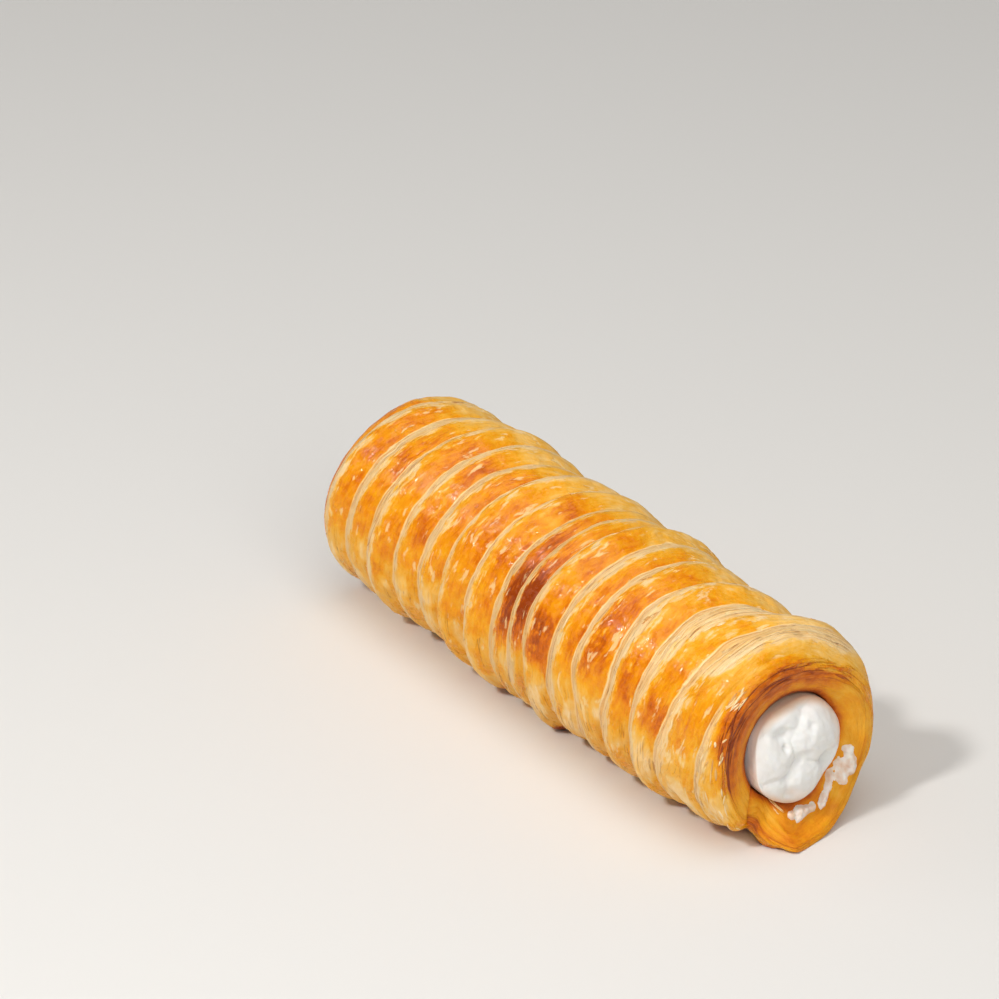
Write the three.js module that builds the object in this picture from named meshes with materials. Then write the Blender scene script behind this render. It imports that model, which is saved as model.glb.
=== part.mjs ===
// Cream roll: a flaky pastry tube, wound in ridges from a strip of dough, with cream right through.
// Millimetres, +Z up. +X runs along the tube to the mouth that has a pointed lower lip.
// Angles run round the tube from +Y: 90 degrees is the top, 180 the near side, 270 the base.
import * as THREE from "three";

const turn = 2 * Math.PI;
const degrees = THREE.MathUtils.degToRad;
const smooth = THREE.MathUtils.smoothstep;
const mix = THREE.MathUtils.lerp;

// Driving dimensions
const tubeLength = 128; // between the two end rings, without the lip
const tubeRadius = 20.1; // at the creases between the ridges
const axisHeight = 20; // of the tube's middle above the surface that it lies on
const baseWidth = 15; // flat strip that settled on the baking tray
const baseTaper = 2.7; // by which its near edge draws in towards the mouth
const boreRadius = 11.3; // left by the baking tube
const boreDrop = 1.8; // the bore sits a little below the tube's middle
const creamGap = 0.3; // between cream and pastry
const creamSetBack = 1.1; // of the cream's edge behind the mouth's rim
const creamSlant = 0.5; // more on the far side
const creamSlump = 0.8; // and less at the bottom
const creamDome = 3; // how far its middle stands out from its edge

// Ridges of the winding
const ridgeSpacing = 8.6;
const ridgesPerTurn = 2;
const ridgeHeight = 1.7;
const nearShoulder = degrees(149);
// Where the creases cross the near shoulder, from the rear to the mouth
const creases = [
  -79, -70.6, -62.4, -53.2, -45.4, -36.2, -28, -20.6, -12, -3, 2, 6.8, 15.3, 22, 30, 40.8, 51, 64.2, 74,
];
const middleCrease = 10; // its number, when the list is counted from 0
const middleCreaseAt = 3;

// Where the creases stray from an even climb; a shift above zero moves them to the rear
const bends = [
  { x: 16, angle: degrees(45), shift: 3.4, halfLength: 14, halfSpread: degrees(50) },
  { x: 34, angle: degrees(170), shift: -3.3, halfLength: 5, halfSpread: degrees(35) },
  { x: 42, angle: degrees(95), shift: 1.9, halfLength: 6, halfSpread: degrees(40) },
  { x: 60, angle: degrees(50), shift: -3.4, halfLength: 10, halfSpread: degrees(60) },
  { x: 50, angle: degrees(215), shift: 4, halfLength: 7, halfSpread: degrees(30) },
  { x: 24, angle: degrees(200), shift: -2.9, halfLength: 6, halfSpread: degrees(30) },
  { x: 6, angle: degrees(192), shift: -1.8, halfLength: 7, halfSpread: degrees(22) },
];

// Where the turns sank or, with a depth below zero, swelled in baking
const hollows = [
  { x: 36, angle: degrees(50), depth: 2.4, halfLength: 15, halfSpread: degrees(60) },
  { x: -16, angle: degrees(45), depth: 0.9, halfLength: 12, halfSpread: degrees(60) },
  { x: -48, angle: degrees(120), depth: 1.2, halfLength: 12, halfSpread: degrees(50) },
  { x: 9.5, angle: degrees(50), depth: 2.7, halfLength: 2.8, halfSpread: degrees(40) },
  { x: 26, angle: degrees(50), depth: -0.6, halfLength: 3, halfSpread: degrees(35) },
  { x: 49, angle: degrees(50), depth: 1.9, halfLength: 3.6, halfSpread: degrees(40) },
  { x: 60, angle: degrees(50), depth: -1.6, halfLength: 6, halfSpread: degrees(35) },
  { x: 60, angle: degrees(2), depth: 1.6, halfLength: 7, halfSpread: degrees(23) },
  { x: -5, angle: degrees(225), depth: -1, halfLength: 11, halfSpread: degrees(45) },
  { x: -2, angle: degrees(228), depth: -0.5, halfLength: 3, halfSpread: degrees(30) },
  { x: 6, angle: degrees(228), depth: -0.5, halfLength: 3, halfSpread: degrees(30) },
  { x: 18.5, angle: degrees(225), depth: -1, halfLength: 6, halfSpread: degrees(35) },
  { x: 43, angle: degrees(225), depth: -0.8, halfLength: 6, halfSpread: degrees(35) },
  { x: 50.5, angle: degrees(228), depth: 1.9, halfLength: 2, halfSpread: degrees(20) },
  { x: 60, angle: degrees(225), depth: -0.4, halfLength: 5, halfSpread: degrees(30) },
  { x: 63, angle: degrees(245), depth: 2.2, halfLength: 4.5, halfSpread: degrees(8) },
];

// Mouth, at +X
const noseLength = 8; // over which the tube rounds in to the rim of the ring
const rimRadius = 17; // of the ring's rim, on average
const rimDrop = 2.5; // the rim is wider below than above
const rimShift = 0.5; // and wider on the far side
const rimSkew = 0.8; // and pushed out towards the near top and the far base
const rimWave = 0.4; // unevenness three times round
const lipReach = 5.3; // how far the lower lip stands out
const lipAngle = degrees(260);
const lipNearSpread = degrees(14); // its near edge is steep
const lipFarSpread = degrees(60); // and its far edge slants
const lipSoftness = 0.15; // how softly its sides end
const gapDepth = 2.2; // of the notch in the rim where the last turn meets the lip
const gapAngle = degrees(239);
const gapSpread = degrees(8);
const funnelDepth = 2.4; // from the rim back to where the bore begins
const lipPull = 0.5; // share of the lip's reach that the bore's edge follows

// Fineness of the faceted surface
const rowsPerRidge = 7;
const columns = 40;
const funnelShares = [0.35, 0.65, 0.9]; // places of the rings of points between rim and bore
const boreRows = 5;
const capRings = 5;

const frontX = tubeLength / 2;
const rearX = -tubeLength / 2;

// Handmade unevenness, between -1 and 1: slow waves along the tube and round it.
function wander(x, angle, seed) {
  const along = Math.sin(x / 13.7 + seed) + Math.sin(x / 7.9 + 2.3 * seed);
  const round = Math.sin(2 * angle + x / 19 + 1.7 * seed) + Math.sin(3 * angle - x / 11 + seed);
  return (along + round) / 4;
}

// One ridge in section: out from the crease over the cut edge, a rounded crest, a gentle fall.
function ridgeSection(part) {
  return smooth(part, 0, 0.42) * (1 - smooth(part, 0.5, 1));
}

// 1 in the middle of a spot on the tube's side, falling softly to 0 around it.
function closeness(x, angle, spot) {
  const along = (x - spot.x) / spot.halfLength;
  const between = angle - spot.angle;
  const round = Math.atan2(Math.sin(between), Math.cos(between)) / spot.halfSpread;
  return Math.exp(-(along ** 2) - round ** 2);
}

function ridgeWidth(number) {
  const before = Math.min(Math.max(number, 0), creases.length - 2);
  return creases[before + 1] - creases[before];
}

// A place counted in creases: 2.5 is halfway from crease 2 to crease 3 of the list.
function countCreases(reach) {
  const next = creases.findIndex((crease) => crease > reach);
  const before = next < 0 ? creases.length - 2 : Math.max(next - 1, 0);
  return before + (reach - creases[before]) / ridgeWidth(before);
}

// The ridges climb round the tube like a thread. Under the base their spacing becomes even, so that
// the winding meets itself there, a whole number of ridges further on.
function ridgePlace(x, angle) {
  const fromBase = angle > degrees(270) ? angle - turn : angle;
  const climbed = (ridgesPerTurn * (fromBase - nearShoulder)) / turn;
  const strayed = bends.reduce((sum, bend) => sum + bend.shift * closeness(x, angle, bend), 0);
  const reach = x + strayed + climbed * ridgeSpacing;
  const even = (reach - middleCreaseAt) / ridgeSpacing + middleCrease;
  const pastBase = smooth(fromBase, degrees(-90), degrees(-50));
  const counted = pastBase * (1 - smooth(fromBase, degrees(240), degrees(269)));
  return mix(even, countCreases(reach), counted);
}

// Each ridge has its own uneven height, and a narrow one stays low.
function ridgeRelief(x, angle) {
  const place = ridgePlace(x, angle);
  const number = Math.floor(place);
  const uneven = 1 + 0.32 * Math.sin(1.9 * number) + 0.4 * wander(x, angle, 2.1);
  const height = ridgeHeight * uneven * Math.min(ridgeWidth(number) / ridgeSpacing, 1) ** 1.4;
  return height * ridgeSection(place - number);
}

// How far the surface has sunk, as soft round hollows.
function sunk(x, angle) {
  return hollows.reduce((sum, hollow) => sum + hollow.depth * closeness(x, angle, hollow), 0);
}

// Outer surface away from the ends, with the flat strip underneath.
function bodyRadius(x, angle) {
  const radius = tubeRadius + ridgeRelief(x, angle) + 0.4 * wander(x, angle, 0.4) - sunk(x, angle);
  const down = -Math.sin(angle);
  const drawnIn = Math.cos(angle) < 0 ? baseTaper * smooth(x, 50, 59) : 0;
  const onBase = down > 0 && Math.abs(Math.cos(angle)) * axisHeight < down * (baseWidth / 2 - drawnIn);
  return onBase ? axisHeight / down : radius;
}

// 1 at the point of the lower lip, falling to 0 at its sides.
function lip(angle) {
  const away = angle < lipAngle ? (lipAngle - angle) / lipNearSpread : (angle - lipAngle) / lipFarSpread;
  const straight = 1 - away;
  if (straight > lipSoftness) return straight;
  return Math.max(straight + lipSoftness, 0) ** 2 / (4 * lipSoftness);
}

// How far the rim is notched on the near side of the lip.
function gap(angle) {
  return gapDepth * Math.exp(-(((angle - gapAngle) / gapSpread) ** 2));
}

function boreAt(angle) {
  return boreRadius - boreDrop * Math.sin(angle);
}

function frontRing(angle) {
  const reach = lipReach * lip(angle);
  const shifted = rimRadius - gap(angle) + rimShift * Math.cos(angle) - rimDrop * Math.sin(angle);
  return {
    x: frontX + reach - 0.4 * gap(angle) + 0.25 * Math.sin(3 * angle + 0.5),
    radius: shifted - rimSkew * Math.sin(2 * angle + 0.46) + rimWave * Math.sin(3 * angle + 0.5),
    inner: frontX - funnelDepth + lipPull * reach,
  };
}

function rearRing(angle) {
  const dropped = rimRadius - 0.6 * rimDrop * Math.sin(angle);
  return {
    x: rearX - 0.5 * Math.sin(2 * angle + 1),
    radius: dropped + rimSkew * Math.sin(2 * angle + 1) - rimWave * Math.sin(3 * angle),
    inner: rearX + funnelDepth,
  };
}

// From the tube's side in to the rim of a ring, as a quarter round.
function noseRadius(fromRing, ringEdge, body) {
  const part = Math.min(fromRing / noseLength, 1);
  return mix(ringEdge, body, Math.sqrt(1 - (1 - part) ** 2));
}

// The closed section of the pastry at one angle, as [x, radius] from the rear round to the rear.
function pastrySection(angle) {
  const front = frontRing(angle);
  const rear = rearRing(angle);
  const bore = boreAt(angle);
  const section = [];
  const rows = Math.round((tubeLength / ridgeSpacing) * rowsPerRidge);
  for (let row = 0; row <= rows; row++) {
    const x = mix(rear.x, front.x, row / rows);
    const atRear = noseRadius(x - rear.x, rear.radius, bodyRadius(x, angle));
    section.push([x, noseRadius(front.x - x, front.radius, atRear)]);
  }
  const funnel = funnelShares.map((share) => [share ** 2, share]);
  for (const [back, inward] of funnel) {
    section.push([mix(front.x, front.inner, back), mix(front.radius, bore, inward)]);
  }
  for (let row = 0; row <= boreRows; row++) {
    section.push([mix(front.inner - 0.6, rear.inner + 0.6, row / boreRows), bore]);
  }
  for (const [back, inward] of funnel.reverse()) {
    section.push([mix(rear.x, rear.inner, back), mix(rear.radius, bore, inward)]);
  }
  return section;
}

function pointAt(x, radius, angle) {
  const z = axisHeight + radius * Math.sin(angle);
  return [x, radius * Math.cos(angle), Math.max(z, 0)];
}

// Faces between neighbouring points of a grid whose rows close on themselves, as two triangles each.
// Where the columns close too, the surface is a ring.
function gridFaces(rows, columnsClose) {
  const faces = [];
  const bands = columnsClose ? rows : rows - 1;
  for (let row = 0; row < bands; row++) {
    const here = row * columns;
    const next = ((row + 1) % rows) * columns;
    for (let column = 0; column < columns; column++) {
      const beside = (column + 1) % columns;
      faces.push(here + column, next + beside, next + column);
      faces.push(here + column, here + beside, next + beside);
    }
  }
  return faces;
}

function solidGeometry(points, faces) {
  const geometry = new THREE.BufferGeometry();
  geometry.setAttribute("position", new THREE.Float32BufferAttribute(points.flat(), 3));
  geometry.setIndex(faces);
  geometry.computeVertexNormals();
  return geometry;
}

const columnAngles = Array.from({ length: columns }, (_, column) => (turn * column) / columns);

function pastryGeometry() {
  const sections = columnAngles.map(pastrySection);
  const rows = sections[0].length;
  const points = [];
  for (let row = 0; row < rows; row++) {
    sections.forEach((section, column) => points.push(pointAt(...section[row], columnAngles[column])));
  }
  return solidGeometry(points, gridFaces(rows, true));
}

// The cream's face at the mouth is a lumpy dome that sits back on the far side; share is 1 at its edge.
function creamFront(share, angle) {
  const edge = frontX - creamSetBack - creamSlant * Math.cos(angle) - creamSlump * Math.sin(angle);
  const middle = frontX - creamSetBack + creamDome;
  const lumps = 0.5 * Math.sin(3 * angle + 0.8) + 0.4 * Math.sin(5 * share + angle);
  return mix(edge, middle, Math.sqrt(1 - share ** 3)) + share * (1 - share ** 4) * lumps;
}

// At the rear it is a low dome.
function creamRear(share) {
  return rearX + 2 - 3 * (1 - share ** 2);
}

function creamGeometry() {
  const middle = axisHeight - boreDrop;
  const points = [];
  const addRing = (share, faceX) => {
    const radius = share * (boreRadius - creamGap);
    for (const angle of columnAngles) {
      points.push([faceX(share, angle), radius * Math.cos(angle), middle + radius * Math.sin(angle)]);
    }
  };
  const shares = [];
  for (let ring = 1; ring <= capRings; ring++) shares.push(Math.sin((turn / 4) * (ring / capRings)));
  for (const share of shares) addRing(share, creamRear);
  for (const share of shares.reverse()) addRing(share, creamFront);
  const rows = 2 * capRings;
  const faces = gridFaces(rows, false);
  const rearTip = points.push([creamRear(0), 0, middle]) - 1;
  const frontTip = points.push([creamFront(0, 0), 0, middle]) - 1;
  const lastRow = (rows - 1) * columns;
  for (let column = 0; column < columns; column++) {
    const beside = (column + 1) % columns;
    faces.push(rearTip, beside, column);
    faces.push(frontTip, lastRow + column, lastRow + beside);
  }
  return solidGeometry(points, faces);
}

const crust = new THREE.MeshStandardMaterial({ color: 0xdc8f2c, roughness: 0.4, metalness: 0 });
const cream = new THREE.MeshStandardMaterial({ color: 0xf6f1e8, roughness: 0.5, metalness: 0 });

const pastry = new THREE.Mesh(pastryGeometry(), crust);
pastry.name = "pastry_roll";
const filling = new THREE.Mesh(creamGeometry(), cream);
filling.name = "cream_filling";

// The origin is the middle of the base of the whole roll.
const roll = new THREE.Group();
roll.add(pastry, filling);
const bounds = new THREE.Box3().setFromObject(roll);
roll.position.set(-(bounds.min.x + bounds.max.x) / 2, -(bounds.min.y + bounds.max.y) / 2, -bounds.min.z);

export default roll;
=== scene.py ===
# %% [markdown]
# # A cream roll in Blender
# The real thing is a strip of puff pastry wound round a metal tube, brushed with egg, baked, and then
# filled with whipped cream from end to end. This lesson builds it over a plain, faceted model of the
# right size, the frame, and gives it the fine surface that the frame leaves out: the cut edges with
# their thin layers, the blistered glaze, the loose flakes and the soft cream.

import math

import bpy
import numpy as np
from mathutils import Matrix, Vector


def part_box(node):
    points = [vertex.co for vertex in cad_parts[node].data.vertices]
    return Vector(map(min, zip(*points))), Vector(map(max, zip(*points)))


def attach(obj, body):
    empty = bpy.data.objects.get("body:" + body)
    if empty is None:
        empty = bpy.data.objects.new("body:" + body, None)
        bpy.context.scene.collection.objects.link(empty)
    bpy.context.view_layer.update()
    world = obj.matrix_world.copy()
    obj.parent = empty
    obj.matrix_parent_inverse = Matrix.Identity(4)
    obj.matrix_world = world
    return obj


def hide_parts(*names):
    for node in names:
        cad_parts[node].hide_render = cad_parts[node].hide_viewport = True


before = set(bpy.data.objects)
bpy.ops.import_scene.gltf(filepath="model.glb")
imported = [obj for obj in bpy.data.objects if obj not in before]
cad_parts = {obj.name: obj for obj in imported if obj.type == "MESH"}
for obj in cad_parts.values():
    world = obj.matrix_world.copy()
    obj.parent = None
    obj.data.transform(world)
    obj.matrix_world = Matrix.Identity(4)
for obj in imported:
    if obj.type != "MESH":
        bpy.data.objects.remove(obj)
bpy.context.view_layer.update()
pastry_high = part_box("pastry_roll")[1]
cream_low, cream_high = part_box("cream_filling")
MM = 0.001

# %% [markdown]
# ## The sizes of the roll
# All sizes are in millimetres, in the roll's own space: X runs along the tube from its middle to the
# mouth, and an angle runs round it from the far side (0) over the top (90) to the near side (180) and
# the base (270). They are the sizes that the frame was made from, so the fine surface covers it.

# %% Sizes of the tube
TURN = 2 * math.pi
TUBE_LENGTH = 128
TUBE_RADIUS = 20.1
AXIS_HEIGHT = 20
BASE_WIDTH = 15
BASE_TAPER = 2.7
BORE_RADIUS = 11.3
BORE_DROP = 1.8
FRONT_X = TUBE_LENGTH / 2
REAR_X = -TUBE_LENGTH / 2
print("tube:", TUBE_LENGTH, "mm from rim to rim, with a bore of about", 2 * BORE_RADIUS, "mm")

# %% Ridges of the winding
RIDGE_SPACING = 8.6
RIDGES_PER_TURN = 2
RIDGE_HEIGHT = 1.7
NEAR_SHOULDER = 149
# Where each crease crosses the near shoulder, in millimetres from the middle
CREASES = [
    -79, -70.6, -62.4, -53.2, -45.4, -36.2, -28, -20.6, -12, -3, 2, 6.8, 15.3, 22, 30, 40.8, 51, 64.2, 74,
]
# Under the roll the creases lie evenly, counted from one of them
MIDDLE_CREASE, MIDDLE_CREASE_AT = 10, 3
ridge_widths = np.diff(CREASES)
print("ridges at the near shoulder, mm:", ridge_widths.min().round(1), "to", ridge_widths.max().round(1))

# %% [markdown]
# Winding by hand is never even. The creases stray from the thread here and there, and in the oven some
# turns sink and others swell. Each such spot is one line: where it is, how much, and how far it reaches.
# A hollow with a negative amount is a swelling.

# %% Spots where the winding strays, and where it sank or swelled
# Place along the tube, angle round it, amount, half length, half spread in degrees
BENDS = [
    (16, 45, 3.4, 14, 50),
    (34, 170, -3.3, 5, 35),
    (42, 95, 1.9, 6, 40),
    (60, 50, -3.4, 10, 60),
    (50, 215, 4, 7, 30),
    (24, 200, -2.9, 6, 30),
    (6, 192, -1.8, 7, 22),
]
HOLLOWS = [
    (36, 50, 2.4, 15, 60),
    (-16, 45, 0.9, 12, 60),
    (-48, 120, 1.2, 12, 50),
    (9.5, 50, 2.7, 2.8, 40),
    (26, 50, -0.6, 3, 35),
    (49, 50, 1.9, 3.6, 40),
    (60, 50, -1.6, 6, 35),
    (60, 2, 1.6, 7, 23),
    (-5, 225, -1, 11, 45),
    (-2, 228, -0.5, 3, 30),
    (6, 228, -0.5, 3, 30),
    (18.5, 225, -1, 6, 35),
    (43, 225, -0.8, 6, 35),
    (50.5, 228, 1.9, 2, 20),
    (60, 225, -0.4, 5, 30),
    (63, 245, 2.2, 4.5, 8),
]

# %% Sizes of the mouth
# The nose is the quarter round from the side to the rim, and the funnel leads from the rim to the bore
NOSE_LENGTH = 8
RIM_RADIUS = 17
RIM_DROP = 2.5
RIM_SHIFT = 0.5
RIM_SKEW = 0.8
RIM_WAVE = 0.4
FUNNEL_DEPTH = 2.4
LIP_PULL = 0.5
LIP_REACH = 5.3
LIP_ANGLE = math.radians(260)
LIP_NEAR_SPREAD = math.radians(14)
LIP_FAR_SPREAD = math.radians(60)
LIP_SOFTNESS = 0.15
TIP_ROUNDNESS = 0.06
FUNNEL_ROUNDNESS = 0.6
GAP_DEPTH = 2.2
GAP_ANGLE = math.radians(239)
GAP_SPREAD = math.radians(8)
INNER_WALL = 0.5
NEAR_WALL = 1.0
NEAR_WALL_ANGLE = math.radians(185)
NEAR_WALL_SPREAD = math.radians(60)
print("the lower lip reaches", LIP_REACH, "mm past the rim, and its gap is", GAP_DEPTH, "mm deep")

# %% [markdown]
# ## Random but repeatable unevenness
# Baked dough is never even. Blender has noise textures, but they only colour a surface. To move the
# mesh itself, the same kind of smooth noise is worked out here in numpy, on a plane that is wrapped
# round the tube. Its seam lies under the roll, where nobody sees it.


# %% Helpers for smooth values
def mix(a, b, share):
    """A value that goes from a to b with a share."""
    return a + (b - a) * share


def smooth(value, low, high):
    """A share that goes softly from 0 to 1 while the value goes from low to high."""
    share = np.clip((value - low) / (high - low), 0, 1)
    return share * share * (3 - 2 * share)


# %% Smooth noise on a plane
def lattice_slope(u, v, seed):
    """A random direction at each corner of the lattice."""
    mixed = (u * 374761393 + v * 668265263 + seed * 974634777) & 0xFFFFFFFF
    mixed = ((mixed ^ (mixed >> 13)) * 1274126177) & 0xFFFFFFFF
    return (mixed ^ (mixed >> 16)) % 4096 / 4096 * TURN


def noise(u, v, seed):
    """Smooth noise between about -1 and 1 that changes once in each unit of u and v."""
    low_u, low_v = np.floor(u).astype(np.int64), np.floor(v).astype(np.int64)
    in_u, in_v = u - low_u, v - low_v
    ease_u = in_u**3 * (in_u * (in_u * 6 - 15) + 10)
    ease_v = in_v**3 * (in_v * (in_v * 6 - 15) + 10)
    rows = []
    for step_v in (0, 1):
        pair = []
        for step_u in (0, 1):
            slope = lattice_slope(low_u + step_u, low_v + step_v, seed)
            pair.append(np.cos(slope) * (in_u - step_u) + np.sin(slope) * (in_v - step_v))
        rows.append(mix(pair[0], pair[1], ease_u))
    return 1.5 * mix(rows[0], rows[1], ease_v)


def rough_noise(u, v, seed, octaves=3):
    """Noise with finer noise on it, which halves in size and in height each time."""
    total = 0
    for octave in range(octaves):
        total = total + noise(u * 2**octave, v * 2**octave, seed + 17 * octave) / 2**octave
    return total / 1.6


sample = noise(np.linspace(0, 90, 2000), np.linspace(0, 7, 2000), 1)
print("noise lies between", sample.min().round(2), "and", sample.max().round(2))

# %% [markdown]
# ## The rolled shape
# The tube could be a spiral strip with real thickness, but the turns bake into one another, so only
# their outside shows. A height over a round tube is enough: the radius is a function of the place
# along the tube and the angle round it, and numpy works it out for a whole grid at once. The places
# are counted in ridges, because everything that baked dough does follows the winding.


# %% Ridges that climb like a thread
def wander(x, angle, seed):
    """A slow swing between -1 and 1, along the tube and round it."""
    along = np.sin(x / 13.7 + seed) + np.sin(x / 7.9 + 2.3 * seed)
    round_it = np.sin(2 * angle + x / 19 + 1.7 * seed) + np.sin(3 * angle - x / 11 + seed)
    return (along + round_it) / 4


def all_spots(x, angle, spots):
    """The sum of many soft round spots on the side of the tube."""
    total = 0
    for spot_x, spot_angle, amount, half_length, half_spread in spots:
        between = angle - math.radians(spot_angle)
        around = np.arctan2(np.sin(between), np.cos(between)) / math.radians(half_spread)
        total = total + amount * np.exp(-(((x - spot_x) / half_length) ** 2) - around**2)
    return total


def ridge_place(x, angle, arc):
    """Where a point is, counted in creases: 2.5 is halfway from crease 2 to crease 3."""
    from_base = np.degrees(np.where(angle > math.radians(270), angle - TURN, angle))
    climbed = RIDGES_PER_TURN * (from_base - NEAR_SHOULDER) / 360
    reach = x + all_spots(x, angle, BENDS) + climbed * RIDGE_SPACING
    even = (reach - MIDDLE_CREASE_AT) / RIDGE_SPACING + MIDDLE_CREASE
    counted = np.interp(reach, CREASES, np.arange(len(CREASES)))
    share = smooth(from_base, -90, -50) * (1 - smooth(from_base, 240, 269))
    by_hand = 0.04 * noise(arc / 9, x / 10, 3) + 0.02 * noise(arc / 3, x / 4, 4)
    return mix(even, counted, share) + by_hand


def ridge_relief(x, angle, place):
    """Height of the ridges over the round tube. Narrow ridges are lower."""
    number = np.clip(np.floor(place), 0, len(CREASES) - 2).astype(int)
    narrowness = np.minimum(np.diff(CREASES)[number] / RIDGE_SPACING, 1) ** 1.4
    height = RIDGE_HEIGHT * narrowness * (1 + 0.32 * np.sin(1.9 * number) + 0.4 * wander(x, angle, 2.1))
    part = place - np.floor(place)
    return height * smooth(part, 0, 0.42) * (1 - smooth(part, 0.5, 1))


print("the winding climbs", RIDGES_PER_TURN * RIDGE_SPACING, "mm in one turn")

# %% The base and the whole side of the tube
def body_radius(x, angle, arc):
    """Radius of the side, which is cut off flat where the roll rests."""
    relief = ridge_relief(x, angle, ridge_place(x, angle, arc))
    radius = TUBE_RADIUS + relief + 0.4 * wander(x, angle, 0.4) - all_spots(x, angle, HOLLOWS)
    down = np.maximum(-np.sin(angle), 1e-6)
    half_base = BASE_WIDTH / 2 - np.where(np.cos(angle) < 0, BASE_TAPER * smooth(x, 50, 59), 0)
    on_base = (np.sin(angle) < 0) & (np.abs(np.cos(angle)) * AXIS_HEIGHT < down * half_base)
    return np.where(on_base, AXIS_HEIGHT / down, radius)


top = np.array([TURN / 4])
print("radius on top of the middle, mm:", body_radius(0 * top, top, top * TUBE_RADIUS)[0].round(1))

# %% The rim at each end, and the pointed lower lip
def lip(angle, roundness):
    """How far the lower lip reaches out at an angle, as a share of its reach at the tip."""
    near = (LIP_ANGLE - angle) / LIP_NEAR_SPREAD
    far = (angle - LIP_ANGLE) / LIP_FAR_SPREAD
    straight = 1 - np.hypot(np.where(angle < LIP_ANGLE, near, far), roundness)
    soft = np.maximum(straight + LIP_SOFTNESS, 0) ** 2 / (4 * LIP_SOFTNESS)
    return np.where(straight > LIP_SOFTNESS, straight, soft)


def gap(angle):
    """How deep the gap beside the lip cuts in."""
    return GAP_DEPTH * np.exp(-(((angle - GAP_ANGLE) / GAP_SPREAD) ** 2))


def bore_at(angle):
    """Radius of the bore, whose wall is thicker on the near side."""
    thick = INNER_WALL + NEAR_WALL * np.exp(-(((angle - NEAR_WALL_ANGLE) / NEAR_WALL_SPREAD) ** 2))
    return BORE_RADIUS - BORE_DROP * np.sin(angle) - thick


def front_rim(angle, roundness=0):
    """Place and radius of the rim of the mouth, and place where its funnel ends."""
    reach = LIP_REACH * lip(angle, roundness)
    x = FRONT_X + reach - 0.4 * gap(angle) + 0.25 * np.sin(3 * angle + 0.5)
    radius = RIM_RADIUS - gap(angle) + RIM_SHIFT * np.cos(angle) - RIM_DROP * np.sin(angle)
    radius = radius - RIM_SKEW * np.sin(2 * angle + 0.46) + RIM_WAVE * np.sin(3 * angle + 0.5)
    return x, radius, FRONT_X - FUNNEL_DEPTH + LIP_PULL * reach


def rear_rim(angle):
    """The same three measures at the rear end, which has no lip."""
    radius = RIM_RADIUS - 0.6 * RIM_DROP * np.sin(angle)
    radius = radius + RIM_SKEW * np.sin(2 * angle + 1) - RIM_WAVE * np.sin(3 * angle)
    return REAR_X - 0.5 * np.sin(2 * angle + 1), radius, REAR_X + FUNNEL_DEPTH + 0 * angle


# %% Where the roll's own space lies in the frame
tip_x = float(front_rim(np.array([LIP_ANGLE]))[0][0])
ORIGIN = np.array([pastry_high.x / MM - tip_x, (cream_low.y + cream_high.y) / 2 / MM, 0.0])
print("the roll's own space starts at, mm:", ORIGIN.round(2))

# %% [markdown]
# ## The camera
# The camera looks down at the mouth from the front left, as a person sees a roll on a plate. It is
# made first, because every later choice of detail depends on how large a millimetre is in the picture.
# Its direction is a bearing and a height, and it looks past the roll, which lies low in the picture.

# %% The camera
PICTURE_PIXELS = 999
SENSOR_WIDTH = 36
FOCAL_PIXELS = 5228
CAMERA_BEARING = 54.9
CAMERA_HEIGHT = 27
CAMERA_DISTANCE = 1000
AIM_RIGHT, AIM_UP = -17.3, 20.5


def direction(bearing, height):
    """A unit vector to something at a bearing from the near side and a height, in degrees."""
    bearing, height = math.radians(bearing), math.radians(height)
    flat = math.cos(height)
    return Vector((math.sin(bearing) * flat, -math.cos(bearing) * flat, math.sin(height)))


back = direction(CAMERA_BEARING, CAMERA_HEIGHT)
right = Vector((-back.y, back.x, 0)).normalized()
aim = Vector(ORIGIN) + Vector((0, 0, AXIS_HEIGHT)) + AIM_RIGHT * right + AIM_UP * back.cross(right)
camera_data = bpy.data.cameras.new("camera")
camera = bpy.data.objects.new("camera", camera_data)
bpy.context.scene.collection.objects.link(camera)
bpy.context.scene.camera = camera
camera_data.sensor_width = SENSOR_WIDTH
camera_data.lens = FOCAL_PIXELS / PICTURE_PIXELS * SENSOR_WIDTH
camera_data.clip_end = 10
camera.location = (aim + CAMERA_DISTANCE * back) * MM
camera.rotation_euler = back.to_track_quat("Z", "Y").to_euler()
print("focal length, mm:", round(camera_data.lens, 1))

# %% [markdown]
# ## The grid of the pastry
# The surface is a grid: each column is the closed section of the pastry at one angle, out along the
# side, over the rim at the mouth, back through the bore and over the rear rim. Rows lie closer
# together where the section turns, so that the rims are as smooth as the side.

# %% Rows of the section
COLUMNS = 220
NOSE_ROWS = 34
SIDE_ROWS = 336
FRONT_FUNNEL_ROWS = 26
REAR_FUNNEL_ROWS = 14
BORE_ROWS = 4
BORE_START = 0.6

wrapped = (TURN * np.arange(COLUMNS) / COLUMNS - TURN / 4)[None, :]
angle = np.where(wrapped < 0, wrapped + TURN, wrapped)
arc = wrapped * TUBE_RADIUS
front_x, front_radius = front_rim(angle, TIP_ROUNDNESS)[:2]
soft_x, soft_radius, soft_inner = front_rim(angle, FUNNEL_ROUNDNESS)
rear_x, rear_radius, rear_inner = rear_rim(angle)
bore = bore_at(angle)
print("radius of the bore, mm:", bore.min().round(1), "to", bore.max().round(1))


# %% From a rim out to the side, and in to the bore
def nose(rim_x, rim_radius, sign):
    """Rows from a rim to the side of the tube, as a quarter round."""
    turn_in = np.linspace(0, math.pi / 2, NOSE_ROWS, endpoint=False)[:, None]
    x = rim_x + sign * NOSE_LENGTH * (1 - np.cos(turn_in))
    return x, mix(rim_radius, body_radius(x, angle, arc), np.sin(turn_in))


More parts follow.
